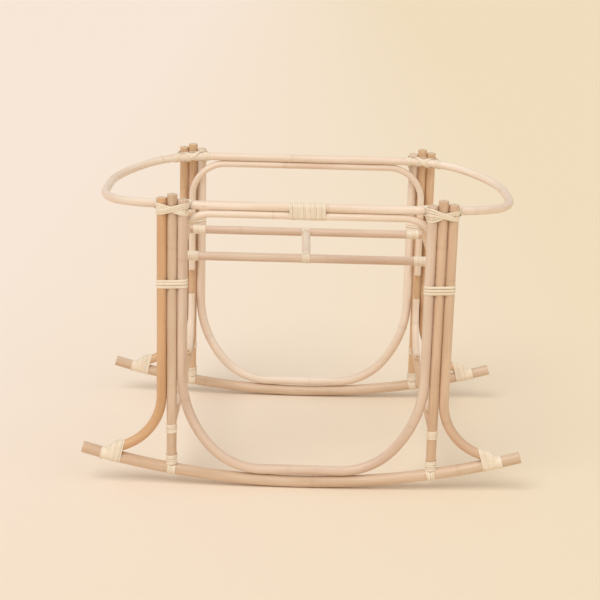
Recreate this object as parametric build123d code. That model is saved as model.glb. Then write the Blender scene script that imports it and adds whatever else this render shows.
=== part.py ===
from build123d import *
import math
import os

# Rocking stand of peeled cane for a bassinet. Millimetres.
# X runs along the rockers, Y from the front frame to the rear frame, Z up.
# The origin is the bottom centre of the stand's box, under the middle of the two rockers.

# ---- cane diameters ----
rocker_d = 23.0
leg_d = 19.5
ring_d = 17.0
arch_d = 14.5
rail_d = 17.5
bar_d = 16.0
brace_d = 15.0
strut_d = 18.0
strip_t = 1.8            # build-up of a cane-strip lashing on a cane
gap = 0.15               # running gap between canes that only touch

# ---- side frames ----
frame_y = 275.5          # half distance between the planes of the two side frames
post_x = 255.0           # middle posts
leg_pitch = leg_d + gap  # three canes side by side
rocker_half = 430.0      # half length of a rocker's centreline
rocker_radius = 1520.0
ring_z = 559.5           # height of the ring's centreline along its straight rails
post_top = 24.0          # cane tops above the ring's centreline
outer_top = 17.0
inner_top = 14.0
rocker_z = rocker_d / 2  # lowest point of a rocker's centreline

# ---- bends ----
flare_radius = 112.0     # outer leg cane sweeping out to the rocker tip
flare_start = 184.0      # height where the outer cane begins to flare
flare_end_x = 388.0
loop_clearance = 2.5     # daylight between a loop and its rocker
loop_low_z = rocker_z + rocker_d / 2 + leg_d / 2 + loop_clearance
loop_high_z = 147.0      # where the loop's upper bend meets its side
loop_low_x = 140.0       # where the loop's lower bend meets its floor
loop_upper_r = 224.0
loop_lower_r = 138.0
arch_corner_r = 74.0
arch_leg_end = ring_z - 260.0

# ---- top ring, as the corners of the polygon that its bends round off ----
ring_y = frame_y - leg_d / 2 - ring_d / 2 - gap
ring_half = 409.0
ring_shoulder_x = 300.0
ring_end_y = 120.0
ring_droop = 19.0
ring_shoulder_r = 178.0
ring_end_r = 245.0

# ---- shelf, stretchers and braces ----
arch_y = frame_y - leg_d / 2 - arch_d / 2 - gap
arch_z = ring_z - ring_d / 2 - arch_d / 2 - gap
shelf_z = ring_z - 134.0
rail_y = 117.0
stretcher_z = ring_z - 437.0
brace_top = ring_z - 316.0
brace_reach = 104.0
brace_radius = 90.0

# ---- lashings: lowest and highest level, or place and width ----
top_lash = (ring_z - 17.0, ring_z + 7.0)
mid_band = (ring_z - 161.0, ring_z - 143.5)
stretcher_wrap = (stretcher_z - 17.0, stretcher_z + 3.0)
rocker_wrap_h = 24.0
rocker_loop_w = 15.0
tip_wrap = (354.0, 395.0)
centre_wrap_half = 36.0
rail_wrap_x = 229.0
rail_wrap_w = 29.0
strut_wrap_w = 16.0
strut_wrap_collar = 12.0
ring_lash_reach = 22.0   # half the width that a top lashing takes up on the ring
foot_overlap = 3.0       # foot lashings reach this far below the rocker's top
sleeve_reach = 40.0      # half length of the rocker's arc that its lashings are cut from
tip_overrun = 6.0        # the tip lashing runs on past the flared cane's end
flare_spots = (0.4, 0.7, 1.0)  # places along the flare that fix the tip lashing's arc

# ---- fasteners ----
nail_d = 2.4
screw_d = 4.0
screw_head_d = 7.0
screw_head_t = 2.0
head_sink = 1.5          # heads sit this far below the cane's surface
rocker_head_sink = 0.8
bar_head_sink = 0.5
ring_nail_bite = 2.0     # nail points end this far past the middle of the cane they hold
arch_nail_bite = 3.0
arch_nail_drop = 110.0   # upper arch nails, below the ring
arch_nail_rise = 15.0    # lower arch nails, above the arch's ends
cross_bar_screw = 60.0   # screw lengths
stretcher_screw = 50.0
rocker_screw = 55.0
rail_screw = 42.0

nodes = {}


def pole(path, diameter):
    """A round cane: a circle carried along its centreline."""
    start = Plane(origin=path @ 0, z_dir=path % 0)
    return sweep(start * Circle(diameter / 2), path=path)


def rod(a, b, diameter):
    """A straight cane or pin from point a to point b."""
    return pole(Line(a, b), diameter)


def slab(low, high):
    """A box between two corners, used to trim a lashing to its width."""
    size = [h - l for l, h in zip(low, high)]
    centre = [(h + l) / 2 for l, h in zip(low, high)]
    return Pos(*centre) * Box(*size)


def rocker_level(x):
    """Height of a rocker's centreline at x."""
    return rocker_z + rocker_radius - math.sqrt(rocker_radius**2 - x**2)


def belt(centres, radii, t):
    """A plane outline round several circles that stands t outside them: their joined hull."""
    discs = Sketch() + [Pos(*c) * Circle(r + t) for c, r in zip(centres, radii)]
    return make_hull(discs.edges())


# ---------------- side frames: rockers, legs, loops and arches ----------------
def rocker(y):
    rise = rocker_level(rocker_half)
    arc = ThreePointArc((-rocker_half, y, rise), (0, y, rocker_z), (rocker_half, y, rise))
    return pole(arc, rocker_d)


def outer_leg(x_side, y):
    x = post_x + leg_pitch
    turn = math.acos(1 - (flare_end_x - x) / flare_radius)
    bend = [
        (x_side * (x + flare_radius * (1 - math.cos(a))), y, flare_start - flare_radius * math.sin(a))
        for a in (turn / 2, turn)
    ]
    top = Line((x_side * x, y, ring_z + outer_top), (x_side * x, y, flare_start))
    flare = ThreePointArc((x_side * x, y, flare_start), bend[0], bend[1])
    return pole(Wire([top, flare]), leg_d)


def loop(y):
    x = post_x - leg_pitch
    top = ring_z + inner_top
    corners = [
        (-x, y, top),
        (-x, y, loop_high_z),
        (-loop_low_x, y, loop_low_z),
        (loop_low_x, y, loop_low_z),
        (x, y, loop_high_z),
        (x, y, top),
    ]
    radii = [loop_upper_r, loop_lower_r, loop_lower_r, loop_upper_r]
    return pole(FilletPolyline(*corners, radius=radii), leg_d)


def arch(y):
    corners = [
        (-post_x, y, arch_leg_end),
        (-post_x, y, arch_z),
        (post_x, y, arch_z),
        (post_x, y, arch_leg_end),
    ]
    return pole(FilletPolyline(*corners, radius=arch_corner_r), arch_d)


sides = (("front", -1), ("rear", 1))
ends = (("left", -1), ("right", 1))

for side, s in sides:
    y = s * frame_y
    nodes[f"{side}_rocker"] = rocker(y)
    nodes[f"{side}_u_loop"] = loop(y)
    nodes[f"{side}_arch"] = arch(s * arch_y)
    for end, e in ends:
        post = rod((e * post_x, y, rocker_level(post_x)), (e * post_x, y, ring_z + post_top), leg_d)
        nodes[f"{side}_{end}_post"] = post - nodes[f"{side}_rocker"]
        nodes[f"{side}_{end}_outer_leg"] = outer_leg(e, y) - nodes[f"{side}_rocker"]

# ---------------- top ring ----------------
quarter = [(ring_shoulder_x, ring_y, ring_z), (ring_half, ring_end_y, ring_z - ring_droop)]
oval = quarter + [(x, -y, z) for x, y, z in reversed(quarter)]
oval += [(-x, -y, z) for x, y, z in quarter] + [(-x, y, z) for x, y, z in reversed(quarter)]
bend_radii = [ring_shoulder_r, ring_end_r, ring_end_r, ring_shoulder_r] * 2
nodes["top_ring"] = pole(FilletPolyline(*oval, radius=bend_radii, close=True), ring_d)

# ---------------- shelf: cross bars, rails and strut ----------------
for end, e in ends:
    bar = rod((e * post_x, -arch_y, shelf_z), (e * post_x, arch_y, shelf_z), bar_d)
    nodes[f"{end}_cross_bar"] = bar - nodes["front_arch"] - nodes["rear_arch"]
for side, s in sides:
    rail = rod((-post_x, s * rail_y, shelf_z), (post_x, s * rail_y, shelf_z), rail_d)
    nodes[f"{side}_shelf_rail"] = rail - nodes["left_cross_bar"] - nodes["right_cross_bar"]

strut = rod((0, -rail_y, shelf_z), (0, rail_y, shelf_z), strut_d)
nodes["shelf_strut"] = strut - nodes["front_shelf_rail"] - nodes["rear_shelf_rail"]

# ---------------- end stretchers and corner braces ----------------
brace_y = frame_y - leg_d / 2 - brace_d / 2 - gap
brace_low = stretcher_z + bar_d / 2 + brace_d / 2 + gap
for end, e in ends:
    x = e * post_x
    stretcher = rod((x, -frame_y, stretcher_z), (x, frame_y, stretcher_z), bar_d)
    nodes[f"{end}_stretcher"] = stretcher - nodes[f"front_{end}_post"] - nodes[f"rear_{end}_post"]
    for side, s in sides:
        corners = [
            (x, s * brace_y, brace_top),
            (x, s * brace_y, brace_low),
            (x, s * (brace_y - brace_reach), brace_low),
        ]
        nodes[f"{side}_{end}_corner_brace"] = pole(FilletPolyline(*corners, radius=brace_radius), brace_d)


# ---------------- cane-strip lashings ----------------
def band(outline_outer, level, canes):
    """A lashing as a band: an outline raised between two levels, less the canes inside it."""
    solid = Pos(0, 0, level[0]) * extrude(outline_outer, level[1] - level[0])
    for cane in canes:
        solid = solid - cane
    return solid


def rocker_sleeve(x, y):
    """A sleeve of strip round the rocker, either side of x."""
    arc = [(spot, y, rocker_level(spot)) for spot in (x - sleeve_reach, x, x + sleeve_reach)]
    return pole(ThreePointArc(*arc), rocker_d + 2 * strip_t)


def rail_sleeve(x_low, x_high, y):
    """A sleeve of strip round a shelf rail from x_low to x_high."""
    return rod((x_low, y, shelf_z), (x_high, y, shelf_z), rail_d + 2 * strip_t)


for side, s in sides:
    y = s * frame_y
    rocker_cane = nodes[f"{side}_rocker"]
    loop_cane = nodes[f"{side}_u_loop"]
    arch_cane = nodes[f"{side}_arch"]
    for end, e in ends:
        name = f"{side}_{end}"
        post = nodes[f"{name}_post"]
        outer = nodes[f"{name}_outer_leg"]
        trio = [(e * (post_x + k * leg_pitch), y) for k in (-1, 1)]
        legs = [outer, post, loop_cane]

        lash_centres = trio + [(e * (post_x + k * ring_lash_reach), s * ring_y) for k in (-1, 1)]
        lash_radii = [leg_d / 2] * 2 + [ring_d / 2] * 2
        outline = belt(lash_centres, lash_radii, strip_t)
        nodes[f"{name}_top_lashing"] = band(outline, top_lash, legs + [nodes["top_ring"], arch_cane])

        outline = belt(trio + [(e * post_x, s * arch_y)], [leg_d / 2] * 2 + [arch_d / 2], strip_t)
        nodes[f"{name}_mid_band"] = band(outline, mid_band, legs + [arch_cane])

        sleeve = Pos(e * post_x, y) * Circle(leg_d / 2 + strip_t)
        nodes[f"{name}_stretcher_wrap"] = band(sleeve, stretcher_wrap, [post, nodes[f"{end}_stretcher"]])

        foot = rocker_level(post_x) + rocker_d / 2 - foot_overlap
        collar = band(sleeve, (foot, foot + rocker_wrap_h), [])
        low = (e * post_x - rocker_loop_w / 2, y - rocker_d, 0)
        high = (e * post_x + rocker_loop_w / 2, y + rocker_d, foot + foot_overlap)
        around = rocker_sleeve(e * post_x, y) & slab(low, high)
        nodes[f"{name}_rocker_wrap"] = (collar + around) - post - rocker_cane

        x_low, x_high = sorted((e * tip_wrap[0], e * tip_wrap[1]))
        window = slab((x_low, y - leg_d, 0), (x_high, y + leg_d, flare_start))
        turn = math.acos(1 - (flare_end_x + tip_overrun - post_x - leg_pitch) / flare_radius)
        arc_x = [post_x + leg_pitch + flare_radius * (1 - math.cos(turn * k)) for k in flare_spots]
        arc_z = [flare_start - flare_radius * math.sin(turn * k) for k in flare_spots]
        flare = ThreePointArc(*[(e * px, y, pz) for px, pz in zip(arc_x, arc_z)])
        tip = rocker_sleeve(e * sum(tip_wrap) / 2, y)
        jacket = (pole(flare, leg_d + 2 * strip_t) + tip) & window
        nodes[f"{name}_tip_wrap"] = jacket - rocker_cane - outer

# the long wrap that binds the ring to the front arch in the middle
outline = belt([(-ring_y, ring_z), (-arch_y, arch_z)], [ring_d / 2, arch_d / 2], strip_t)
face = Plane.YZ * outline
wrap = Pos(-centre_wrap_half, 0, 0) * extrude(face, 2 * centre_wrap_half)
nodes["ring_centre_wrap"] = wrap - nodes["top_ring"] - nodes["front_arch"]

for side, s in sides:
    rail = nodes[f"{side}_shelf_rail"]
    for end, e in ends:
        x_low = e * rail_wrap_x - rail_wrap_w / 2
        nodes[f"{side}_{end}_rail_wrap"] = rail_sleeve(x_low, x_low + rail_wrap_w, s * rail_y) - rail
    sleeve = rail_sleeve(-strut_wrap_w / 2, strut_wrap_w / 2, s * rail_y)
    collar_end = rail_y - rail_d / 2 - strut_wrap_collar
    collar = rod((0, s * rail_y, shelf_z), (0, s * collar_end, shelf_z), strut_d + 2 * strip_t)
    nodes[f"{side}_strut_wrap"] = (sleeve + collar) - rail - nodes["shelf_strut"]


# ---------------- nails and screws, in groups of like ones ----------------
def group(solids):
    return Compound(children=[Solid(s.solids()[0].wrapped) for s in solids])


def screw(head, direction, length):
    """A screw: its head sunk flush at the point head, its shank running along direction."""
    tip = tuple(h + d * length for h, d in zip(head, direction))
    under = tuple(h + d * screw_head_t for h, d in zip(head, direction))
    return rod(head, under, screw_head_d) + rod(head, tip, screw_d)


corners = [(e, s) for e in (-1, 1) for s in (-1, 1)]
face_y = frame_y + leg_d / 2 - head_sink
ring_nails, arch_nails, bar_screws, stretcher_screws, rocker_screws, rail_screws = [], [], [], [], [], []
for e, s in corners:
    post_face = (e * post_x, s * face_y)
    point_y = s * (ring_y - ring_nail_bite)
    ring_nails.append(rod((*post_face, ring_z), (e * post_x, point_y, ring_z), nail_d))
    point_y = s * (arch_y - arch_nail_bite)
    for z in (ring_z - arch_nail_drop, arch_leg_end + arch_nail_rise):
        arch_nails.append(rod((*post_face, z), (e * post_x, point_y, z), nail_d))
    bar_screws.append(screw((*post_face, shelf_z), (0, -s, 0), cross_bar_screw))
    stretcher_screws.append(screw((*post_face, stretcher_z), (0, -s, 0), stretcher_screw))
    under = rocker_level(post_x) - rocker_d / 2 + rocker_head_sink
    rocker_screws.append(screw((e * post_x, s * frame_y, under), (0, 0, 1), rocker_screw))
    bar_side = e * (post_x + bar_d / 2 - bar_head_sink)
    rail_screws.append(screw((bar_side, s * rail_y, shelf_z), (-e, 0, 0), rail_screw))

nodes["ring_nails"] = group(ring_nails)
nodes["arch_nails"] = group(arch_nails)
nodes["cross_bar_screws"] = group(bar_screws)
nodes["stretcher_screws"] = group(stretcher_screws)
nodes["rocker_screws"] = group(rocker_screws)
nodes["rail_screws"] = group(rail_screws)

os.makedirs("parts", exist_ok=True)
for name, shape in nodes.items():
    export_step(shape, f"parts/{name}.step")
print(len(nodes), "nodes")
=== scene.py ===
import math

import bpy
import numpy as np
from mathutils import Matrix, Vector


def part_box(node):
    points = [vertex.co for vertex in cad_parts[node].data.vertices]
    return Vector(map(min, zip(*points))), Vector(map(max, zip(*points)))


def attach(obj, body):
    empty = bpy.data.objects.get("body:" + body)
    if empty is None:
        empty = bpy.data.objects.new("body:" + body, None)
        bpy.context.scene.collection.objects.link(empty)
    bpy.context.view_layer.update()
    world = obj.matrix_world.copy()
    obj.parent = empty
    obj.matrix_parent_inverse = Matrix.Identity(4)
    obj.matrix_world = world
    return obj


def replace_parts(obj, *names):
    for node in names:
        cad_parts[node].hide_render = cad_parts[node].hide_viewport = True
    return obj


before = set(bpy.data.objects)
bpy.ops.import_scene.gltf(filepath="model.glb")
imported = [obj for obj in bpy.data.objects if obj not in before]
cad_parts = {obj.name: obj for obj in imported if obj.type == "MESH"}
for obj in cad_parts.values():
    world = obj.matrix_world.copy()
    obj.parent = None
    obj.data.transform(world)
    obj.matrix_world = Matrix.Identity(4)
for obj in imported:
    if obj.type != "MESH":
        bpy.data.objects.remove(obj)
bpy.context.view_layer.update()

# ---------------------------------------------------------------------------------------------
# Finish of the canes: peeled rattan, sanded and given a thin satin lacquer. The skin has fine
# lengthwise fibres, slow changes of tone, a faint ring at each node and small dark flecks, and
# a cut end shows pores round a darker pith.
# ---------------------------------------------------------------------------------------------


def node_group(name, inputs, outputs):
    """An empty shader group with the named inputs and outputs, given as (name, socket kind, default)."""
    group = bpy.data.node_groups.new(name, "ShaderNodeTree")
    for label, kind, default in inputs:
        socket = group.interface.new_socket(label, in_out="INPUT", socket_type=kind)
        socket.default_value = default
    for label, kind in outputs:
        group.interface.new_socket(label, in_out="OUTPUT", socket_type=kind)
    return group, group.nodes.new("NodeGroupInput"), group.nodes.new("NodeGroupOutput")


FINISH_OUTPUTS = (
    ("Color", "NodeSocketColor"),
    ("Roughness", "NodeSocketFloat"),
    ("Height", "NodeSocketFloat"),
)


def two_tones(light, dark):
    """The pair of colour inputs that every finish varies between."""
    return [("Light", "NodeSocketColor", (*light, 1)), ("Dark", "NodeSocketColor", (*dark, 1))]


def attribute(tree, name):
    """An Attribute node that reads one of the mesh's own attributes."""
    node = tree.nodes.new("ShaderNodeAttribute")
    node.attribute_name = name
    return node


def noise(tree, vector, stretch, detail=3.0, rough=0.55):
    """A noise texture read on vector after each of its axes is multiplied by stretch."""
    place = tree.nodes.new("ShaderNodeMapping")
    place.inputs["Scale"].default_value = stretch
    tree.links.new(vector, place.inputs["Vector"])
    cloud = tree.nodes.new("ShaderNodeTexNoise")
    cloud.inputs["Scale"].default_value = 1.0
    cloud.inputs["Detail"].default_value = detail
    cloud.inputs["Roughness"].default_value = rough
    tree.links.new(place.outputs["Vector"], cloud.inputs["Vector"])
    return cloud.outputs["Fac"]


def remap(tree, value, low, high, to_low=0.0, to_high=1.0):
    """value moved from the range low..high to the range to_low..to_high, and clamped."""
    node = tree.nodes.new("ShaderNodeMapRange")
    node.inputs["From Min"].default_value = low
    node.inputs["From Max"].default_value = high
    node.inputs["To Min"].default_value = to_low
    node.inputs["To Max"].default_value = to_high
    tree.links.new(value, node.inputs["Value"])
    return node.outputs["Result"]


def blend_colour(tree, factor, first, second, way="MIX"):
    """Two colours mixed by factor, each a socket or a fixed colour."""
    node = tree.nodes.new("ShaderNodeMix")
    node.data_type = "RGBA"
    node.blend_type = way
    for socket, value in ((node.inputs[0], factor), (node.inputs[6], first), (node.inputs[7], second)):
        if isinstance(value, bpy.types.NodeSocket):
            tree.links.new(value, socket)
        else:
            socket.default_value = value
    return node.outputs[2]


def maths(tree, what, a, b=None):
    """One Math node on two values, each a socket or a number."""
    node = tree.nodes.new("ShaderNodeMath")
    node.operation = what
    for socket, value in zip(node.inputs, (a, b)):
        if isinstance(value, bpy.types.NodeSocket):
            tree.links.new(value, socket)
        elif value is not None:
            socket.default_value = value
    return node.outputs[0]


def cane_group():
    """Colour, roughness and height of peeled cane from its own grain, knot and end attributes."""
    inputs = two_tones((0.86, 0.68, 0.50), (0.66, 0.45, 0.28)) + [("Fibre", "NodeSocketFloat", 0.5)]
    tree, given, result = node_group("peeled_cane", inputs, FINISH_OUTPUTS)
    knot = attribute(tree, "knot")
    end = attribute(tree, "end")
    place = attribute(tree, "grain").outputs["Vector"]
    fibre = noise(tree, place, (1100, 1100, 9), 4.0, 0.62)
    fine = noise(tree, place, (2600, 2600, 30), 2.0)
    patch = noise(tree, place, (42, 42, 5.5), 3.0)
    blush = noise(tree, place, (16, 16, 2.2), 2.0)
    fleck = noise(tree, place, (520, 520, 70), 1.0)
    tone = remap(tree, patch, 0.34, 0.66)
    colour = blend_colour(tree, tone, given.outputs["Light"], given.outputs["Dark"])
    rosy = blend_colour(tree, remap(tree, blush, 0.45, 0.75, 0.0, 0.35), colour, (0.86, 0.60, 0.46, 1))
    streak = maths(tree, "MULTIPLY", remap(tree, fibre, 0.42, 0.72), given.outputs["Fibre"])
    colour = blend_colour(tree, streak, rosy, (0.47, 0.29, 0.16, 1))
    speck = remap(tree, fleck, 0.73, 0.80, 0.0, 0.45)
    colour = blend_colour(tree, speck, colour, (0.30, 0.17, 0.08, 1))
    ring = maths(tree, "MULTIPLY", knot.outputs["Fac"], remap(tree, fine, 0.3, 0.7, 0.06, 0.30))
    colour = blend_colour(tree, ring, colour, (0.42, 0.25, 0.13, 1))
    pore = noise(tree, place, (1500, 1500, 1), 2.0, 0.7)
    cut = blend_colour(tree, remap(tree, pore, 0.42, 0.62), (0.86, 0.72, 0.55, 1), (0.52, 0.34, 0.20, 1))
    flat = tree.nodes.new("ShaderNodeVectorMath")
    flat.operation = "MULTIPLY"
    flat.inputs[1].default_value = (1, 1, 0)
    tree.links.new(place, flat.inputs[0])
    radius = tree.nodes.new("ShaderNodeVectorMath")
    radius.operation = "LENGTH"
    tree.links.new(flat.outputs["Vector"], radius.inputs[0])
    pith = remap(tree, radius.outputs["Value"], 0.0014, 0.0026, 0.75, 0.0)
    cut = blend_colour(tree, pith, cut, (0.33, 0.19, 0.10, 1))
    colour = blend_colour(tree, end.outputs["Fac"], colour, cut)
    rougher_end = remap(tree, end.outputs["Fac"], 0, 1, 0, 0.3)
    gloss = maths(tree, "ADD", remap(tree, fibre, 0.3, 0.7, 0.34, 0.50), rougher_end)
    height = maths(tree, "ADD", maths(tree, "MULTIPLY", fibre, 0.7), maths(tree, "MULTIPLY", fine, 0.3))
    height = maths(tree, "SUBTRACT", height, maths(tree, "MULTIPLY", knot.outputs["Fac"], 0.5))
    tree.links.new(colour, result.inputs["Color"])
    tree.links.new(gloss, result.inputs["Roughness"])
    tree.links.new(height, result.inputs["Height"])
    return tree


peeled_cane = cane_group()


def finish_with(group, name, coat, coat_rough, bump, values):
    """A material: one group's colour, roughness and bump into a lightly coated Principled shader."""
    material = bpy.data.materials.new(name)
    material.use_nodes = True
    tree = material.node_tree
    shader = tree.nodes["Principled BSDF"]
    effect = tree.nodes.new("ShaderNodeGroup")
    effect.node_tree = group
    for label, value in values.items():
        effect.inputs[label].default_value = value
    relief = tree.nodes.new("ShaderNodeBump")
    relief.inputs["Strength"].default_value = bump
    relief.inputs["Distance"].default_value = 0.0004
    tree.links.new(effect.outputs["Color"], shader.inputs["Base Color"])
    tree.links.new(effect.outputs["Roughness"], shader.inputs["Roughness"])
    tree.links.new(effect.outputs["Height"], relief.inputs["Height"])
    tree.links.new(relief.outputs["Normal"], shader.inputs["Normal"])
    shader.inputs["Coat Weight"].default_value = coat
    shader.inputs["Coat Roughness"].default_value = coat_rough
    return material


def cane_finish(name, light, dark, fibre):
    """Peeled cane varying between two tones, with fibres of the given strength."""
    values = {"Light": (*light, 1), "Dark": (*dark, 1), "Fibre": fibre}
    return finish_with(peeled_cane, name, 0.22, 0.28, 0.35, values)


pale_cane = cane_finish("pale_cane", (0.94, 0.82, 0.70), (0.83, 0.66, 0.52), 0.26)
tan_cane = cane_finish("tan_cane", (0.76, 0.59, 0.445), (0.61, 0.43, 0.285), 0.38)
warm_cane = cane_finish("warm_cane", (0.78, 0.54, 0.34), (0.62, 0.39, 0.21), 0.40)
rose_cane = cane_finish("rose_cane", (0.80, 0.64, 0.51), (0.66, 0.48, 0.37), 0.34)
fawn_cane = cane_finish("fawn_cane", (0.755, 0.55, 0.385), (0.62, 0.41, 0.265), 0.36)
honey_cane = cane_finish("honey_cane", (0.75, 0.47, 0.26), (0.62, 0.35, 0.17), 0.40)

# ---------------------------------------------------------------------------------------------
# Rockers: two thick canes, steamed and bent to one long arc, front and rear. The whole stand
# rocks on them. Their ends are sawn square and lightly sanded.
# ---------------------------------------------------------------------------------------------
rng = np.random.default_rng(7)
AROUND = 28                    # faces round a cane
ROW_STEP = 0.005               # length of one row of faces along a cane
NODE_SPACING = 0.27            # growth nodes along a natural cane
NODE_WIDTH = 0.0028            # half length of the swelling at a node
NODE_SWELL = 0.010             # its share of the radius
END_SPACE = 0.002              # rows this close to a cut end make way for the end's own rows
BUTT = 0.003                   # how far a cane's end runs into the cane it butts against
# rows of a cut end: share of the radius, and distance from the end's plane
end_rows = np.array([(0.30, 0.0), (0.62, 0.0), (0.90, 0.0), (0.975, 0.0003), (1.0, 0.0011)])


def grid_mesh(name, grid, attributes, material, closed):
    """A closed skin from a grid of points: rows along the piece, columns right round it.

    Neighbouring rows are joined by quads. Where the rows don't close on themselves, a fan of
    triangles round one middle point shuts each end.
    """
    rows, columns = grid.shape[:2]
    row = np.arange(rows if closed else rows - 1)[:, None]
    column = np.arange(columns)[None, :]
    nxt = (column + 1) % columns
    after = (row + 1) % rows
    here, there = row * columns, after * columns
    corners = [here + column, here + nxt, there + nxt, there + column]
    faces = np.stack(corners, -1).reshape(-1, 4).tolist()
    points = grid.reshape(-1, 3)
    if not closed:
        first = np.arange(columns)
        last = first + (rows - 1) * columns
        start = rows * columns
        points = np.vstack([points, grid[0].mean(0), grid[-1].mean(0)])
        faces += np.stack([np.full(columns, start), (first + 1) % columns, first], 1).tolist()
        turned = (first + 1) % columns + (rows - 1) * columns
        faces += np.stack([np.full(columns, start + 1), last, turned], 1).tolist()
    mesh = bpy.data.meshes.new(name)
    mesh.from_pydata(points.tolist(), [], faces)
    for label, values in attributes.items():
        flat = values.reshape(rows * columns, -1)
        if not closed:
            tips = [values[k].reshape(columns, -1).mean(0) for k in (0, -1)]
            flat = np.vstack([flat, *tips])
        kind, key = ("FLOAT_VECTOR", "vector") if flat.shape[1] == 3 else ("FLOAT", "value")
        layer = mesh.attributes.new(label, kind, "POINT")
        layer.data.foreach_set(key, np.ascontiguousarray(flat, dtype=np.float32).ravel())
    mesh.polygons.foreach_set("use_smooth", np.ones(len(mesh.polygons), dtype=bool))
    mesh.materials.append(material)
    piece = bpy.data.objects.new(name, mesh)
    bpy.context.scene.collection.objects.link(piece)
    return piece


def stations(route, closed):
    """Distance along a route at each of its points, and the unit tangent there."""
    ahead = np.roll(route, -1, 0) - route
    if not closed:
        ahead[-1] = ahead[-2]
    behind = np.roll(ahead, 1, 0)
    if not closed:
        behind[0] = ahead[0]
    steps = np.linalg.norm(ahead, axis=1)
    along = np.concatenate([[0.0], np.cumsum(steps)[:-1]])
    tangent = ahead / steps[:, None] + behind / np.linalg.norm(behind, axis=1)[:, None]
    return along, tangent / np.linalg.norm(tangent, axis=1)[:, None]


def cane(name, route, thickness, across, material, closed=False):
    """A natural cane: a circle carried along a route.

    Its radius swells a little at each growth node and wanders by about one per cent. A cut end is
    a flat disc with a softened edge. The grain attribute is (x, y) in the section and the distance
    along, so the fibres follow every bend. across is a direction that the route never takes.
    """
    along, tangent = stations(route, closed)
    side = np.cross(tangent, across)
    side /= np.linalg.norm(side, axis=1)[:, None]
    rise = np.cross(tangent, side)
    length = along[-1]
    shift, phase = rng.uniform(0.2, 0.8), rng.uniform(0, 2 * math.pi, 3)
    count = max(1, int(length / NODE_SPACING))
    knots = (np.arange(count) + shift) * length / count
    knot = np.exp(-(((along[:, None] - knots[None, :]) / NODE_WIDTH) ** 2)).sum(1)
    wander = 0.006 * np.sin(along * 19 + phase[0]) + 0.004 * np.sin(along * 47 + phase[1])
    if closed:
        wander = 0.008 * np.sin(along / length * 2 * math.pi * 5 + phase[0])
    radius = thickness / 2 * (1 + NODE_SWELL * knot + wander)
    end = np.zeros(len(route))
    if not closed:
        lead = np.array([(f, a, 1.0 if a == 0.0 else 0.0) for f, a in end_rows])
        start_rows = route[0] + lead[:, 1:2] * tangent[0]
        stop_rows = (route[-1] - lead[:, 1:2] * tangent[-1])[::-1]
        keep = (along > END_SPACE) & (along < length - END_SPACE)
        flip = lead[::-1]
        cap = len(lead)
        radius = np.concatenate([lead[:, 0] * radius[0], radius[keep], flip[:, 0] * radius[-1]])
        route = np.vstack([start_rows, route[keep], stop_rows])
        side = np.vstack([np.tile(side[0], (cap, 1)), side[keep], np.tile(side[-1], (cap, 1))])
        rise = np.vstack([np.tile(rise[0], (cap, 1)), rise[keep], np.tile(rise[-1], (cap, 1))])
        end = np.concatenate([lead[:, 2], end[keep], flip[:, 2]])
        knot = np.concatenate([np.zeros(cap), knot[keep], np.zeros(cap)])
        along = np.concatenate([lead[:, 1], along[keep], length - flip[:, 1]])
    angle = np.arange(AROUND) * 2 * math.pi / AROUND
    ring = np.cos(angle)[None, :, None] * side[:, None] + np.sin(angle)[None, :, None] * rise[:, None]
    grid = route[:, None] + radius[:, None, None] * ring
    seed = rng.uniform(0, 5)
    section_x = radius[:, None] * np.cos(angle)[None, :]
    section_y = radius[:, None] * np.sin(angle)[None, :]
    depth = np.repeat(along[:, None] + seed, AROUND, 1)
    attributes = {
        "grain": np.stack([section_x, section_y, depth], -1),
        "knot": np.repeat(knot[:, None], AROUND, 1)[..., None],
        "end": np.repeat(end[:, None], AROUND, 1)[..., None],
    }
    piece = grid_mesh(name, grid, attributes, material, closed)
    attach(piece, "root")
    return piece


def line(start, stop):
    """Evenly spaced points from start to stop."""
    start, stop = np.array(start, float), np.array(stop, float)
    count = max(2, int(np.linalg.norm(stop - start) / ROW_STEP) + 1)
    return start + (stop - start) * np.linspace(0, 1, count)[:, None]


X_WAY, Y_WAY, Z_WAY = np.eye(3)
SIDES = (("front", -1), ("rear", 1))
ENDS = (("left", -1), ("right", 1))
rocker_low, rocker_high = (np.array(c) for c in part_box("front_rocker"))
rocker_d = rocker_high[1] - rocker_low[1]
frame_y = (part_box("rear_rocker")[0][1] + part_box("rear_rocker")[1][1]) / 2
rocker_r = 1.52
rocker_half = 0.430


def rocker_level(x):
    """Height of a rocker's centreline: a circle of radius rocker_r standing on the floor."""
    return rocker_d / 2 + rocker_r - np.sqrt(rocker_r**2 - np.asarray(x) ** 2)


for side, s in SIDES:
    x = np.linspace(-rocker_half, rocker_half, int(2 * rocker_half / ROW_STEP))
    route = np.stack([x, np.full_like(x, s * frame_y), rocker_level(x)], 1)
    piece = cane(f"{side}_rocker_cane", route, rocker_d, Y_WAY, tan_cane)
    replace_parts(piece, f"{side}_rocker")

# ---------------------------------------------------------------------------------------------
# Legs: each corner has three canes side by side. The middle post runs straight down to the
# rocker, and the outer cane flares out to lie along the rocker's tip, where its end is scarfed.
# ---------------------------------------------------------------------------------------------
post_low, post_high = (np.array(c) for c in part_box("front_right_post"))
leg_d = post_high[0] - post_low[0]
post_x = (post_low[0] + post_high[0]) / 2
outer_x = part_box("front_right_outer_leg")[0][0] + leg_d / 2
flare_r = 0.112
flare_start = 0.184
flare_end_x = 0.388
leg_tints = {("front", "right"): fawn_cane, ("front", "left"): tan_cane}
scarf_start, scarf_drop = 0.358, 0.013


def scarf(x):
    """How far the flared cane's thinned end sinks towards the rocker: smoothly, past scarf_start."""
    t = np.clip((x - scarf_start) / (flare_end_x - scarf_start), 0, 1)
    return scarf_drop * t * t * (3 - 2 * t)



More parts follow.
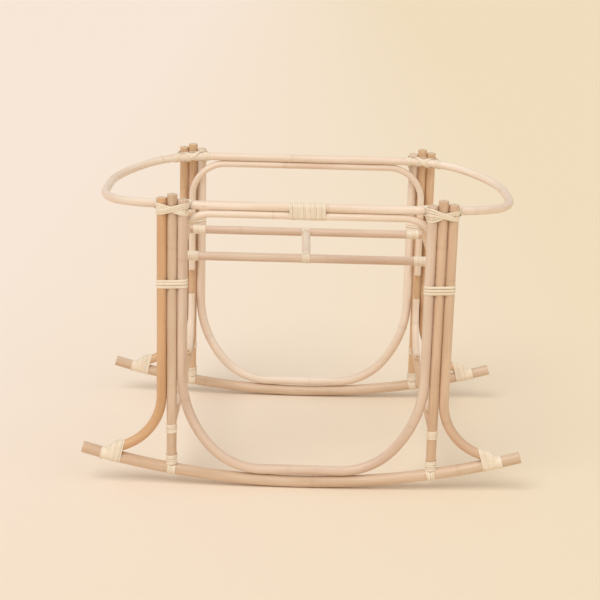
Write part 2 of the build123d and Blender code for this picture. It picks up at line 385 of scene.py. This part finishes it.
for side, s in SIDES:
    for end, e in ENDS:
        corner = f"{side}_{end}"
        y = s * frame_y
        post_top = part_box(f"{corner}_post")[1][2]
        tint = leg_tints.get((side, end), warm_cane)
        route = line((e * post_x, y, post_top), (e * post_x, y, rocker_level(post_x) + 0.004))
        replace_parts(cane(f"{corner}_post_cane", route, leg_d, Y_WAY, tint), f"{corner}_post")
        outer_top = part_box(f"{corner}_outer_leg")[1][2]
        turn = np.linspace(0, math.acos(1 - (flare_end_x - outer_x) / flare_r), 36)[1:]
        bend_x = outer_x + flare_r * (1 - np.cos(turn))
        bend_z = flare_start - flare_r * np.sin(turn) - scarf(bend_x)
        bend = np.stack([e * bend_x, np.full_like(turn, y), bend_z], 1)
        route = np.vstack([line((e * outer_x, y, outer_top), (e * outer_x, y, flare_start)), bend])
        outer_tint = honey_cane if corner == "front_left" else tint
        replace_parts(cane(f"{corner}_outer_cane", route, leg_d, Y_WAY, outer_tint), f"{corner}_outer_leg")

# ---------------------------------------------------------------------------------------------
# Big loops: one long cane per side is the inner cane of both legs and swings down in a U that
# almost rests on the rocker. An arch of thinner cane sits under the ring rail, with its legs
# nailed down the inside of the middle posts.
# ---------------------------------------------------------------------------------------------


def rounded_route(corners, radii, closed=False):
    """Points along a polygon whose corners are rounded off by arcs.

    At a corner the arc of radius r starts r * tan(half the turn) before it and ends as far after
    it. The arc is centre - r * (out * cos(t) + ...), swept from the incoming to the outgoing edge.
    """
    corners = np.array(corners, float)
    count = len(corners)
    pieces, arcs = [], []
    order = range(count) if closed else range(1, count - 1)
    for k in order:
        back = corners[k - 1] - corners[k]
        ahead = corners[(k + 1) % count] - corners[k]
        back /= np.linalg.norm(back)
        ahead /= np.linalg.norm(ahead)
        turn = math.pi - math.acos(np.clip(back @ ahead, -1, 1))
        r = radii[k if closed else k - 1]
        reach = r * math.tan(turn / 2)
        middle = (back + ahead) / np.linalg.norm(back + ahead)
        centre = corners[k] + middle * math.hypot(r, reach)
        start = corners[k] + back * reach
        spoke = (start - centre) / r
        t = np.linspace(0, turn, max(8, int(r * turn / ROW_STEP)))[:, None]
        arcs.append(centre + r * (spoke * np.cos(t) - back * np.sin(t)))
    if closed:
        previous = arcs[-1][-1]
    else:
        previous = corners[0]
        pieces.append(previous[None])
    for arc in arcs:
        if np.linalg.norm(arc[0] - previous) > 1e-5:
            pieces.append(line(previous, arc[0])[1:-1])
        pieces.append(arc)
        previous = arc[-1]
    if not closed:
        pieces.append(line(previous, corners[-1])[1:])
    route = np.vstack(pieces)
    fresh = np.concatenate([[True], np.linalg.norm(np.diff(route, axis=0), axis=1) > 1e-5])
    return route[fresh]


inner_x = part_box("front_u_loop")[1][0] - leg_d / 2
loop_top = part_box("front_u_loop")[1][2]
loop_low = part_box("front_u_loop")[0][2] + leg_d / 2
loop_bends = (0.224, 0.138, 0.138, 0.224)
loop_shoulder_z = 0.147
loop_floor_x = 0.140
arch_low, arch_high = (np.array(c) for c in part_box("rear_arch"))
arch_d = arch_high[1] - arch_low[1]
arch_y = (arch_low[1] + arch_high[1]) / 2
arch_z = arch_high[2] - arch_d / 2

for side, s in SIDES:
    y = s * frame_y
    half = [(-inner_x, y, loop_top), (-inner_x, y, loop_shoulder_z), (-loop_floor_x, y, loop_low)]
    corners = half + [(-x, y, z) for x, y, z in reversed(half)]
    route = rounded_route(corners, loop_bends)
    piece = cane(f"{side}_loop_cane", route, leg_d, Y_WAY, rose_cane if s < 0 else pale_cane)
    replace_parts(piece, f"{side}_u_loop")
    y = s * arch_y
    half = [(-post_x, y, arch_low[2]), (-post_x, y, arch_z)]
    corners = half + [(-x, y, z) for x, y, z in reversed(half)]
    piece = cane(f"{side}_arch_cane", rounded_route(corners, (0.074, 0.074)), arch_d, Y_WAY, pale_cane)
    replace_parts(piece, f"{side}_arch")

# ---------------------------------------------------------------------------------------------
# Top ring: one slender cane bent to a long oval and joined end to end, which holds the basket's
# rim. It passes inside all four legs, and its two free ends hang slightly lower than the rails.
# ---------------------------------------------------------------------------------------------
ring_high = np.array(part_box("top_ring")[1])
ring_d = 0.017
ring_y = ring_high[1] - ring_d / 2
ring_half = ring_high[0] - ring_d / 2
ring_z = ring_high[2] - ring_d / 2
shoulder_x, end_y, droop = 0.300, 0.120, 0.019
quarter = [(shoulder_x, ring_y, ring_z), (ring_half, end_y, ring_z - droop)]
oval = quarter + [(x, -y, z) for x, y, z in reversed(quarter)]
oval += [(-x, -y, z) for x, y, z in quarter] + [(-x, y, z) for x, y, z in reversed(quarter)]
ring_route = rounded_route(oval, [0.178, 0.245, 0.245, 0.178] * 2, closed=True)
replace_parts(cane("top_ring_cane", ring_route, ring_d, Z_WAY, pale_cane, closed=True), "top_ring")

# ---------------------------------------------------------------------------------------------
# Shelf: two cross bars run from the front arch to the rear arch, two rails butt between them
# and carry the basket, and a short strut keeps the rails apart in the middle.
# ---------------------------------------------------------------------------------------------
bar_low, bar_high = (np.array(c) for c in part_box("right_cross_bar"))
bar_d = bar_high[2] - bar_low[2]
shelf_z = (bar_low[2] + bar_high[2]) / 2
rail_low, rail_high = (np.array(c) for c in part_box("rear_shelf_rail"))
rail_d = rail_high[1] - rail_low[1]
rail_y = (rail_low[1] + rail_high[1]) / 2
strut_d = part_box("shelf_strut")[1][0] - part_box("shelf_strut")[0][0]
rail_end = post_x - bar_d / 2 + BUTT

for end, e in ENDS:
    reach = arch_y - arch_d / 2 + BUTT
    route = line((e * post_x, -reach, shelf_z), (e * post_x, reach, shelf_z))
    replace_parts(cane(f"{end}_cross_bar_cane", route, bar_d, Z_WAY, warm_cane), f"{end}_cross_bar")
for side, s in SIDES:
    route = line((-rail_end, s * rail_y, shelf_z), (rail_end, s * rail_y, shelf_z))
    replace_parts(cane(f"{side}_rail_cane", route, rail_d, Z_WAY, rose_cane), f"{side}_shelf_rail")
reach = rail_y - rail_d / 2 + BUTT
route = line((0, -reach, shelf_z), (0, reach, shelf_z))
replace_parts(cane("shelf_strut_cane", route, strut_d, Z_WAY, pale_cane), "shelf_strut")

# ---------------------------------------------------------------------------------------------
# End stretchers and corner braces: a straight cane ties the front and rear posts low down, and
# a short cane bent to a quarter circle stiffens each of its corners. Nailed, then lashed.
# ---------------------------------------------------------------------------------------------
stretcher_low, stretcher_high = (np.array(c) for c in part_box("right_stretcher"))
stretcher_z = (stretcher_low[2] + stretcher_high[2]) / 2
brace_low, brace_high = (np.array(c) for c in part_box("rear_right_corner_brace"))
brace_d = brace_high[0] - brace_low[0]
brace_y = brace_high[1] - brace_d / 2
brace_z = brace_low[2] + brace_d / 2
brace_bend = 0.090

for end, e in ENDS:
    reach = frame_y - leg_d / 2 + BUTT
    route = line((e * post_x, -reach, stretcher_z), (e * post_x, reach, stretcher_z))
    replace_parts(cane(f"{end}_stretcher_cane", route, bar_d, Z_WAY, warm_cane), f"{end}_stretcher")
    for side, s in SIDES:
        x, y = e * post_x, s * brace_y
        corners = [(x, y, brace_high[2]), (x, y, brace_z), (x, s * brace_low[1], brace_z)]
        route = rounded_route(corners, (brace_bend,))
        piece = cane(f"{side}_{end}_brace_cane", route, brace_d, X_WAY, pale_cane)
        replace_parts(piece, f"{side}_{end}_corner_brace")

# ---------------------------------------------------------------------------------------------
# Finish of the lashings: flat strip split from the cane's inside, wound damp and left to dry
# tight. It is paler than the canes and matter, with fine lengthwise lines.
# ---------------------------------------------------------------------------------------------


def strip_group():
    """Colour, roughness and height of split cane strip from its grain attribute."""
    inputs = two_tones((0.93, 0.84, 0.70), (0.74, 0.58, 0.40))
    tree, given, result = node_group("cane_strip", inputs, FINISH_OUTPUTS)
    light, dark = given.outputs["Light"], given.outputs["Dark"]
    place = attribute(tree, "grain").outputs["Vector"]
    line_tone = noise(tree, place, (2200, 2200, 14), 3.0)
    length_tone = noise(tree, place, (60, 60, 9), 2.0)
    colour = blend_colour(tree, remap(tree, length_tone, 0.35, 0.75), light, dark)
    colour = blend_colour(tree, remap(tree, line_tone, 0.5, 0.75, 0.0, 0.5), colour, dark)
    tree.links.new(colour, result.inputs["Color"])
    tree.links.new(remap(tree, line_tone, 0.3, 0.7, 0.42, 0.6), result.inputs["Roughness"])
    tree.links.new(line_tone, result.inputs["Height"])
    return tree


split_strip = strip_group()
strip_colours = {"Light": (0.93, 0.84, 0.70, 1), "Dark": (0.80, 0.66, 0.49, 1)}
strip_finish = finish_with(split_strip, "split_cane_strip", 0.12, 0.35, 0.4, strip_colours)

# ---------------------------------------------------------------------------------------------
# Plain windings: strip wound in close turns round one cane or a bundle. Three turns bind the
# three leg canes and the arch half way down, and the long one ties ring and arch together.
# ---------------------------------------------------------------------------------------------
STRIP_T = 0.0011
TURN_POINTS = 72
STRIP_SIDES = 8
EDGE = 0.0015                  # a winding's middle line starts this far inside the band it fills
section_turn = np.arange(STRIP_SIDES) * 2 * math.pi / STRIP_SIDES


def strip_piece(name, ribbons, width, nodes, thickness=STRIP_T):
    """Flat strips as one mesh: a flattened oval carried along each ribbon's line.

    A ribbon is (points, outward directions). The oval is width wide across the line and
    thickness high along the outward direction, squared off by the power 0.6 of its sine and cosine.
    """
    parts = []
    wide = np.sign(np.cos(section_turn)) * np.abs(np.cos(section_turn)) ** 0.6 * width / 2
    high = np.sign(np.sin(section_turn)) * np.abs(np.sin(section_turn)) ** 0.6 * thickness / 2
    for k, (points, outward) in enumerate(ribbons):
        along, tangent = stations(points, False)
        outward = outward - (outward * tangent).sum(1)[:, None] * tangent
        outward /= np.linalg.norm(outward, axis=1)[:, None]
        lateral = np.cross(outward, tangent)
        spread = wide[None, :, None] * lateral[:, None] + high[None, :, None] * outward[:, None]
        grid = points[:, None] + spread
        across = np.repeat(wide[None, :], len(points), 0)
        depth = np.repeat(along[:, None] + 3.1 * k + rng.uniform(0, 3), len(wide), 1)
        grain = np.stack([across, np.repeat(high[None, :], len(points), 0), depth], -1)
        parts.append(grid_mesh(f"{name}_{k}", grid, {"grain": grain}, strip_finish, False))
    piece = parts[0]
    if len(parts) > 1:
        with bpy.context.temp_override(active_object=piece, selected_editable_objects=parts):
            bpy.ops.object.join()
    piece.name = name
    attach(piece, "root")
    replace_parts(piece, *nodes)
    return piece


def winding(origin, axes, bundle, start, turns, pitch, lift=STRIP_T / 2, slope=0.0):
    """One strip wound round a bundle of round canes, as (points, outward directions).

    For a direction n the strip lies on the cane that reaches furthest that way, at its centre
    plus (radius + lift) times n; straight runs bridge from cane to cane. It climbs the third axis
    by one pitch for each full turn of length, and both of its ends dip under their neighbours.
    bundle(h) gives centres (count, canes, 2) and radii for heights h. slope leans the turns.
    """
    first, second, climb = (np.array(a, float) for a in axes)
    turn = np.linspace(0, 2 * math.pi * turns, int(TURN_POINTS * turns) + 1)
    n = np.stack([np.cos(turn), np.sin(turn)], 1)
    height = start + pitch * turn / (2 * math.pi)
    centres, radii = bundle(height)
    furthest = (np.einsum("nd,nkd->nk", n, centres) + radii).argmax(1)
    rows = np.arange(len(turn))
    flat = centres[rows, furthest] + (radii[furthest] + lift)[:, None] * n
    run = np.concatenate([[0.0], np.cumsum(np.linalg.norm(np.diff(flat, axis=0), axis=1))])
    height = start + pitch * turns * run / run[-1] + slope * np.sin(turn)
    height += 0.00025 * np.sin(turn * 0.73 + rng.uniform(0, 6))
    tuck = np.clip(np.minimum(run, run[-1] - run) / 0.008, 0, 1)
    flat -= (0.0012 * (1 - tuck))[:, None] * n
    points = np.array(origin) + flat[:, :1] * first + flat[:, 1:] * second + height[:, None] * climb
    keep = np.concatenate([[True], np.diff(run) > 1e-5])
    return points[keep], (n[:, :1] * first + n[:, 1:] * second)[keep]


def fixed_bundle(centres, radii):
    """A bundle whose canes run straight along the winding's axis."""
    centres, radii = np.array(centres, float), np.array(radii, float)
    return lambda height: (np.repeat(centres[None], len(height), 0), radii)


FLAT_AXES = (X_WAY, Y_WAY, Z_WAY)
RAIL_AXES = (Y_WAY, Z_WAY, X_WAY)
band_strip, band_pitch = 0.0054, 0.0058
for side, s in SIDES:
    for end, e in ENDS:
        corner = f"{side}_{end}"
        low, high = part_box(f"{corner}_mid_band")
        centres = [(e * outer_x, s * frame_y), (e * inner_x, s * frame_y), (e * post_x, s * arch_y)]
        bundle = fixed_bundle(centres, [leg_d / 2, leg_d / 2, arch_d / 2])
        turns = winding((0, 0, 0), FLAT_AXES, bundle, low[2] + EDGE, 3.1, band_pitch)
        strip_piece(f"{corner}_mid_band_strip", [turns], band_strip, [f"{corner}_mid_band"])

low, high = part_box("ring_centre_wrap")
bundle = fixed_bundle([(-ring_y, ring_z), (-arch_y, arch_z)], [ring_d / 2, arch_d / 2])
count = 23
pitch = (high[0] - low[0] - 2 * EDGE) / count
turns = winding((0, 0, 0), RAIL_AXES, bundle, low[0] + EDGE, count, pitch)
strip_piece("ring_centre_strip", [turns], 0.0031, ["ring_centre_wrap"])

# ---------------------------------------------------------------------------------------------
# Small windings on single canes: round each rail's end, round each post where the stretcher
# meets it, and at the strut, where strip passes round the rail and round the strut's neck.
# ---------------------------------------------------------------------------------------------
for side, s in SIDES:
    rail = fixed_bundle([(s * rail_y, shelf_z)], [rail_d / 2])
    for end, e in ENDS:
        low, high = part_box(f"{side}_{end}_rail_wrap")
        count = 8
        pitch = (high[0] - low[0] - 2 * EDGE) / count
        turns = winding((0, 0, 0), RAIL_AXES, rail, low[0] + EDGE, count, pitch)
        strip_piece(f"{side}_{end}_rail_strip", [turns], 0.0037, [f"{side}_{end}_rail_wrap"])
        corner = f"{side}_{end}"
        low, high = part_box(f"{corner}_stretcher_wrap")
        post = fixed_bundle([(e * post_x, s * frame_y)], [leg_d / 2])
        turns = winding((0, 0, 0), FLAT_AXES, post, low[2] + 0.002, 4, 0.0043)
        strip_piece(f"{corner}_stretcher_strip", [turns], 0.0042, [f"{corner}_stretcher_wrap"])
    round_rail = winding((0, 0, 0), RAIL_AXES, rail, -0.0075, 4, 0.0038)
    neck = fixed_bundle([(0, shelf_z)], [strut_d / 2])
    neck_start = s * (rail_y - rail_d / 2 - 0.003)
    round_neck = winding((0, 0, 0), (X_WAY, Z_WAY, Y_WAY), neck, neck_start, 3, -s * 0.0036)
    strip_piece(f"{side}_strut_strip", [round_rail, round_neck], 0.0037, [f"{side}_strut_wrap"])

# ---------------------------------------------------------------------------------------------
# Foot lashings: level turns bind each post just above the rocker, and more pass under the
# rocker. At each tip fine turns bind rocker and flared cane together, tapering to the end.
# ---------------------------------------------------------------------------------------------
foot_z = float(rocker_level(post_x)) + rocker_d / 2
tip_x = 0.3745                 # middle of a tip lashing


def rocker_axes(x):
    """The rocker's unit tangent and upward directions at x."""
    slope = math.asin(x / rocker_r)
    along = np.array([math.cos(slope), 0, math.sin(slope)])
    return along, np.array([-math.sin(slope), 0, math.cos(slope)])


for side, s in SIDES:
    for end, e in ENDS:
        corner = f"{side}_{end}"
        y = s * frame_y
        post = fixed_bundle([(e * post_x, y)], [leg_d / 2])
        level = winding((0, 0, 0), FLAT_AXES, post, foot_z - 0.003, 5.5, 0.0040, lift=STRIP_T)
        tangent, upward = rocker_axes(e * post_x)
        at_post = (e * post_x, y, float(rocker_level(post_x)))
        rocker = fixed_bundle([(0, 0)], [rocker_d / 2])
        under = winding(at_post, (Y_WAY, upward, tangent), rocker, -0.0075, 4, 0.0038)
        strip_piece(f"{corner}_foot_strip", [level, under], 0.0038, [f"{corner}_rocker_wrap"])

        tangent, upward = rocker_axes(e * tip_x)
        at_tip = np.array([e * tip_x, y, float(rocker_level(tip_x))])
        hub = np.array([e * (outer_x + flare_r), y, flare_start]) - at_tip
        hub_along, hub_up = hub @ tangent, hub @ upward

        def tip_bundle(height):
            """The rocker, and the flared cane on its circle and scarf, taller for being cut slantwise."""
            rise = hub_up - np.sqrt(flare_r**2 - np.clip(hub_along - height, -flare_r, flare_r) ** 2)
            rise = rise - scarf(tip_x + e * height)
            rise = rise + leg_d / 2 * (np.sqrt(1 + np.gradient(rise, height) ** 2) - 1)
            zero = np.zeros_like(height)
            centres = np.stack([np.stack([zero, zero], 1), np.stack([zero, rise], 1)], 1)
            return centres, np.array([rocker_d / 2, leg_d / 2])

        fine = winding(at_tip, (Y_WAY, upward, tangent), tip_bundle, -0.0195, 17, 0.0023)
        strip_piece(f"{corner}_tip_strip", [fine], 0.0030, [f"{corner}_tip_wrap"])

# ---------------------------------------------------------------------------------------------
# Top lashings: strip crosses the three leg canes in an X, three strands each way, and on each
# side goes over, behind and under the ring rail. More strands cross on the rail's inner face.
# ---------------------------------------------------------------------------------------------


def smooth_line(points, per_span=10, closed=True):
    """A smooth line through points (Catmull and Rom's cubic), each span cut into equal steps."""
    points = np.array(points, float)
    if closed:
        before, start, stop, after = (np.roll(points, k, 0) for k in (1, 0, -1, -2))
    else:
        padded = np.vstack([points[:1], points, points[-1:]])
        before, start, stop, after = padded[:-3], padded[1:-2], padded[2:-1], padded[3:]
    t = np.linspace(0, 1, per_span, endpoint=False)[None, :, None]
    a, b, c, d = (p[:, None] for p in (before, start, stop, after))
    squared, cubed = 2 * a - 5 * b + 4 * c - d, 3 * b - a - 3 * c + d
    curve = 0.5 * (2 * b + (c - a) * t + squared * t**2 + cubed * t**3)
    return curve.reshape(-1, points.shape[1])


strand_w = 0.0040
STRANDS = 3                    # strands each way in the cross on the legs
cane_u = 0.0197                # from the middle post to the cane on either side
leg_r, rail_r = leg_d / 2, ring_d / 2
side_u = outer_x - post_x + leg_r + 0.0010
rear_rail = ring_route[ring_route[:, 1] > 0.1]
rear_rail = rear_rail[np.argsort(rear_rail[:, 0])]


def rail_at(u):
    """The ring rail's line beside a leg: how far in it lies and how far it drops, at u outwards."""
    x = post_x + np.asarray(u, float)
    inward, drop = (np.interp(x, rear_rail[:, 0], rear_rail[:, k]) for k in (1, 2))
    return inward - frame_y, drop - ring_z


for side, s in SIDES:
    for end, e in ENDS:
        corner = f"{side}_{end}"
        ribbons = []
        fan_in, fan_out = (0.9, 0.9) if e < 0 else (1.25, 0.6)
        face = leg_r + 0.0006

        def place(rows):
            """Turn (u, w, z) rows, u to the outer side, w out of the stand, into the row frame."""
            u, w, z = np.array(rows, float).T
            return np.stack([e * (post_x + u), s * (frame_y + w), ring_z + z], 1)

        def rail_turn(u, roll, lift):
            """Points at u on the ring rail, roll radians behind its top, lift above its skin."""
            inward, drop = rail_at(u)
            over = rail_r + lift
            return np.stack([u, inward - over * np.sin(roll), drop + over * np.cos(roll)], -1)

        for k in range(STRANDS):
            stagger = (k - 1) * strand_w
            low_in, high_in = -0.0100 + stagger * fan_in, 0.0020 + stagger * fan_in
            low_out, high_out = -0.0090 + stagger * fan_out, 0.0010 + stagger * fan_out
            proud = face + 0.0003 * k
            du = side_u + 0.0038 * (k - 0.6)
            round_out = rail_turn(np.full(7, du), np.linspace(0.0, math.pi, 7), 0.0007)
            round_in = rail_turn(np.full(7, -du), np.linspace(math.pi, 0.0, 7), 0.0007)
            tilt = np.linspace(0.0, math.pi, 7)
            across = np.stack([0 * tilt, -np.sin(tilt), np.cos(tilt)], 1)
            # (u, w, z, outward u, outward w, outward z) round the whole lashing
            front_up = [
                (-side_u, 0.0, low_in - 0.0006, -1, 0.2, 0),
                (-cane_u, proud, low_in, 0, 1, 0),
                (0.0, proud + 0.0003, (low_in + high_out) / 2, 0, 1, 0),
                (cane_u, proud, high_out, 0, 1, 0),
                (side_u, 0.0, high_out + 0.0006, 1, 0.2, 0),
            ]
            front_down = [
                (side_u, 0.0, low_out - 0.0006, 1, 0.2, 0),
                (cane_u, proud + 0.0008, low_out, 0, 1, 0),
                (0.0, proud + 0.0014, (low_out + high_in) / 2, 0, 1, 0),
                (-cane_u, proud + 0.0008, high_in, 0, 1, 0),
                (-side_u, 0.0, high_in + 0.0006, -1, 0.2, 0),
            ]
            round_out, round_in = (np.hstack([part, across]) for part in (round_out, round_in[::-1]))
            loop = np.vstack([front_up, round_out, front_down, round_in])
            curve = smooth_line(loop, per_span=6)
            curve = np.vstack([curve, curve[:3]])
            outward = np.stack([e * curve[:, 3], s * curve[:, 4], curve[:, 5]], 1)
            ribbons.append((place(curve[:, :3]), outward))
        for way in (-1, 1):
            for k in range(2):
                roll = np.linspace(-0.2, 1.2, 40) * math.pi
                u = way * ((roll / math.pi - 0.5) * 0.030 + (k - 0.5) * 0.0046)
                points = place(rail_turn(u, roll, 0.0008 + 0.0004 * (way + 1)))
                outward = np.stack([0 * roll, -s * np.sin(roll), np.cos(roll)], 1)
                ribbons.append((points, outward))
        u = np.linspace(-0.030, 0.030, 24)
        inward, drop = rail_at(u)
        top = np.stack([u, inward + 0.0060, drop + rail_r * 0.80 + 0.0022], 1)
        ribbons.append((place(top), np.tile([0.0, 0.7 * s, 0.7], (len(top), 1))))
        strip_piece(f"{corner}_top_strip", ribbons, strand_w, [f"{corner}_top_lashing"])

# ---------------------------------------------------------------------------------------------
# Nails and screws: plain bright steel, driven before the lashing covers them. The lathe marks
# run round them, so the steel is faintly brushed.
# ---------------------------------------------------------------------------------------------


def steel_group():
    """Colour, roughness and height of drawn steel from the place in the object."""
    inputs = two_tones((0.68, 0.67, 0.65), (0.48, 0.47, 0.45))
    tree, given, result = node_group("drawn_steel", inputs, FINISH_OUTPUTS)
    place = tree.nodes.new("ShaderNodeTexCoord").outputs["Object"]
    scratch = noise(tree, place, (1500, 1500, 1500), 2.0)
    tone = blend_colour(tree, scratch, given.outputs["Light"], given.outputs["Dark"])
    tree.links.new(tone, result.inputs["Color"])
    tree.links.new(remap(tree, scratch, 0.3, 0.7, 0.25, 0.45), result.inputs["Roughness"])
    tree.links.new(scratch, result.inputs["Height"])
    return tree


steel = finish_with(steel_group(), "drawn_steel", 0.0, 0.1, 0.1, {})
steel.node_tree.nodes["Principled BSDF"].inputs["Metallic"].default_value = 1.0
nails = ("ring_nails", "arch_nails")
screws = ("cross_bar_screws", "stretcher_screws", "rocker_screws", "rail_screws")
for node in nails + screws:
    for material_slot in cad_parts[node].material_slots:
        material_slot.material = steel

# ---------------------------------------------------------------------------------------------
# Studio: a wide pale cream floor, pinker to the left and yellower to the right and in front, one
# broad soft light from high on the left, a weaker one from the right, and an even pale surround.
# ---------------------------------------------------------------------------------------------
floor_mesh = bpy.data.meshes.new("studio_floor")
floor_half = 80.0
floor_corners = [(x * floor_half, y * floor_half, 0) for x, y in ((-1, -1), (1, -1), (1, 1), (-1, 1))]
floor_mesh.from_pydata(floor_corners, [], [(0, 1, 2, 3)])
floor = bpy.data.objects.new("studio_floor", floor_mesh)
bpy.context.scene.collection.objects.link(floor)
floor_finish = bpy.data.materials.new("cream_floor")
floor_finish.use_nodes = True
tree = floor_finish.node_tree
place = tree.nodes.new("ShaderNodeTexCoord")
split = tree.nodes.new("ShaderNodeSeparateXYZ")
tree.links.new(place.outputs["Object"], split.inputs[0])
sweep = remap(tree, split.outputs["X"], -0.9, 0.9)
nearness = remap(tree, split.outputs["Y"], 0.2, -0.8)
left_shade = blend_colour(tree, nearness, (0.94, 0.83, 0.75, 1), (0.93, 0.80, 0.685, 1))
shade = blend_colour(tree, sweep, left_shade, (0.876, 0.757, 0.571, 1))
floor_shader = tree.nodes["Principled BSDF"]
tree.links.new(shade, floor_shader.inputs["Base Color"])
floor_shader.inputs["Roughness"].default_value = 0.95
floor_shader.inputs["Specular IOR Level"].default_value = 0.1
floor_mesh.materials.append(floor_finish)


def soft_sun(name, place, power, spread, colour):
    """An even light from the direction of place, with soft shadows spread degrees wide."""
    data = bpy.data.lights.new(name, "SUN")
    data.energy, data.angle, data.color = power, math.radians(spread), colour
    lamp = bpy.data.objects.new(name, data)
    lamp.rotation_euler = (-Vector(place)).to_track_quat("-Z", "Y").to_euler()
    bpy.context.scene.collection.objects.link(lamp)


soft_sun("key_light", (-0.9, -1.2, 2.0), 1.33, 38, (1.0, 0.97, 0.92))
soft_sun("fill_light", (1.5, -1.0, 1.2), 0.38, 60, (1.0, 0.97, 0.93))
world = bpy.data.worlds.new("studio_surround")
world.use_nodes = True
world.node_tree.nodes["Background"].inputs["Color"].default_value = (1.0, 0.95, 0.88, 1)
world.node_tree.nodes["Background"].inputs["Strength"].default_value = 0.60
bpy.context.scene.world = world
bpy.context.scene.view_settings.view_transform = "Standard"

# ---------------------------------------------------------------------------------------------
# Camera: a long lens a little over three metres away, looking down at about sixteen degrees,
# almost square to the front and leaning slightly to one side.
# ---------------------------------------------------------------------------------------------
camera_data = bpy.data.cameras.new("camera")
camera_data.sensor_width = 36.0
camera_data.lens = 91.6
camera_data.clip_end = 60.0
camera = bpy.data.objects.new("camera", camera_data)
pitch, yaw, lean = math.radians(15.6), math.radians(0.154), math.radians(1.5)
turned = Matrix.Rotation(-yaw, 4, "Z") @ Matrix.Rotation(math.pi / 2 - pitch, 4, "X")
turned = turned @ Matrix.Rotation(lean, 4, "Z")
camera.matrix_world = Matrix.Translation((-0.018, -3.085, ring_z + 0.608)) @ turned
bpy.context.scene.collection.objects.link(camera)
bpy.context.scene.camera = camera
